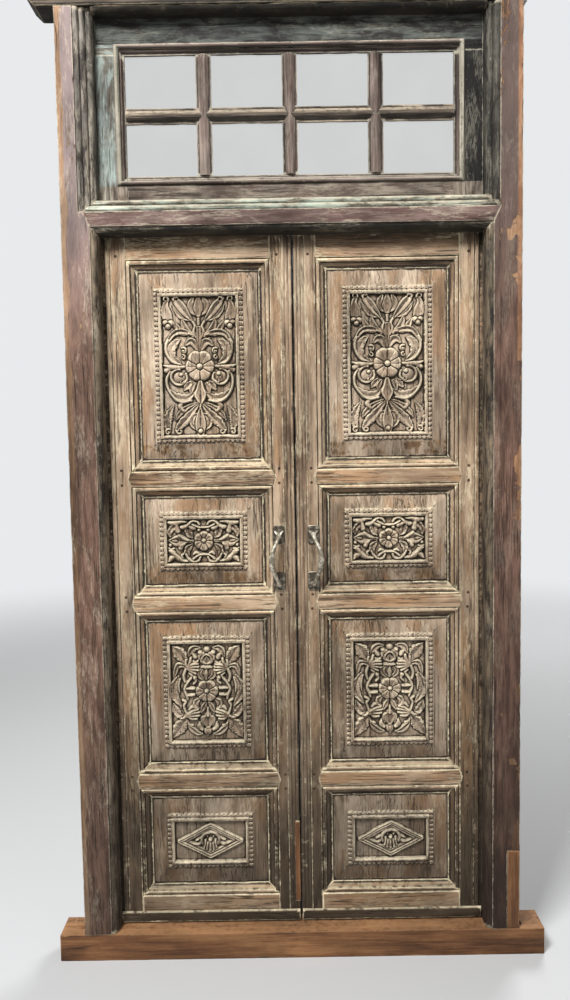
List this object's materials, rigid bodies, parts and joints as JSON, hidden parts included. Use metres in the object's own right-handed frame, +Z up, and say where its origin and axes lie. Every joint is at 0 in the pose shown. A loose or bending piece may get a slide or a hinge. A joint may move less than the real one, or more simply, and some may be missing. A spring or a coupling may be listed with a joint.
{
  "type": "carved temple door with frame",
  "caption": "Carved and panelled timber door leaves on pivots, in a moulded frame with a glazed fanlight above a transom bar.",
  "frame": {"origin": "middle of the sill's underside", "axes": "+X to the right seen from the front, +Y from the front to the back, +Z up"},
  "size_m": [1.415, 0.092, 2.762],
  "materials": {
    "leaf_timber": "weathered, limed and worn",
    "carved_timber": "carved, limed and worn",
    "bare_timber": "newly planed",
    "painted_jamb": "old maroon paint, worn through",
    "painted_bar": "old paint over moulded timber",
    "dark_head": "dark and weathered",
    "sash_paint": "flaking paint",
    "clear_glass": "clear, slightly hazy",
    "handle_metal": "worn bright",
    "pivot_iron": "forged, dark"
  },
  "bodies": {
    "frame": {"sill": "bare_timber", "left_jamb": "painted_jamb", "right_jamb": "painted_jamb", "jamb_patch": "bare_timber", "transom_bar": "painted_bar", "head_beam": "dark_head", "head_stop": "dark_head", "sash_top_rail": "sash_paint", "sash_bottom_rail": "sash_paint", "sash_left_stile": "sash_paint", "sash_right_stile": "sash_paint", "sash_left_bar": "sash_paint", "sash_middle_bar": "sash_paint", "sash_right_bar": "sash_paint", "sash_cross_bars": "sash_paint", "sash_bead": "sash_paint", "sash_panes": "clear_glass"},
    "left_leaf": {"left_bottom_rail": "leaf_timber", "left_lower_rail": "leaf_timber", "left_middle_rail": "leaf_timber", "left_upper_rail": "leaf_timber", "left_top_rail": "leaf_timber", "left_meeting_stile": "leaf_timber", "left_hinge_stile": "leaf_timber", "left_lower_wide_panel": "carved_timber", "left_square_panel": "carved_timber", "left_upper_wide_panel": "carved_timber", "left_tall_panel": "carved_timber", "left_base_strip": "leaf_timber", "left_handle": "handle_metal", "left_lower_pivot": "pivot_iron", "left_upper_pivot": "pivot_iron", "left_stile_patch": "bare_timber"},
    "right_leaf": {"right_bottom_rail": "leaf_timber", "right_lower_rail": "leaf_timber", "right_middle_rail": "leaf_timber", "right_upper_rail": "leaf_timber", "right_top_rail": "leaf_timber", "right_meeting_stile": "leaf_timber", "right_hinge_stile": "leaf_timber", "right_lower_wide_panel": "carved_timber", "right_square_panel": "carved_timber", "right_upper_wide_panel": "carved_timber", "right_tall_panel": "carved_timber", "right_base_strip": "leaf_timber", "right_handle": "handle_metal", "right_lower_pivot": "pivot_iron", "right_upper_pivot": "pivot_iron"}
  },
  "joints": [
    {"name": "left_leaf_pivot", "type": "hinge", "parent": "frame", "child": "left_leaf", "pos_m": [-0.5285, 0.029, 0], "axis": [0, 0, 1], "range_deg": [0, 90]},
    {"name": "right_leaf_pivot", "type": "hinge", "parent": "frame", "child": "right_leaf", "pos_m": [0.5285, 0.029, 0], "axis": [0, 0, -1], "range_deg": [0, 90]}
  ]
}
